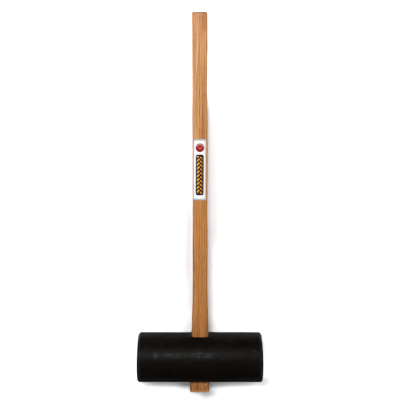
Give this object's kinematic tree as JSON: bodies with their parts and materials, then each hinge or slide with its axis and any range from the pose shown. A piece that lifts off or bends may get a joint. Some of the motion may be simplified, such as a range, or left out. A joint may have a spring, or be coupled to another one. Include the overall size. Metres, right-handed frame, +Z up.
{
  "type": "rubber paving maul",
  "caption": "Long-handled paving maul: a solid black rubber cylinder head jammed across the flared end of a pale hardwood handle, with a printed film label on the handle's front.",
  "frame": {"origin": "centre of the handle's flared lower end face, which is the lowest point", "axes": "+Z up along the handle to the grip end, +X along the rubber head from end to end, -Y is the labelled front"},
  "size_m": [0.299, 0.1118, 0.9144],
  "materials": {
    "head_rubber": "moulded black rubber, matt with a soft sheen and light dusty scuffs",
    "handle_wood": "pale sanded hardwood with long straight grain, thinly sealed",
    "label_film": "satin printed film, white ground with a red disc and a navy panel"
  },
  "bodies": {
    "handle_body": {"handle": "handle_wood", "handle_label": "label_film"},
    "head_body": {"rubber_head": "head_rubber"}
  },
  "joints": [
    {"name": "head_slide", "type": "slide", "parent": "handle_body", "child": "head_body", "axis": [0, 0, 1], "range_m": [0, 0.78]}
  ]
}
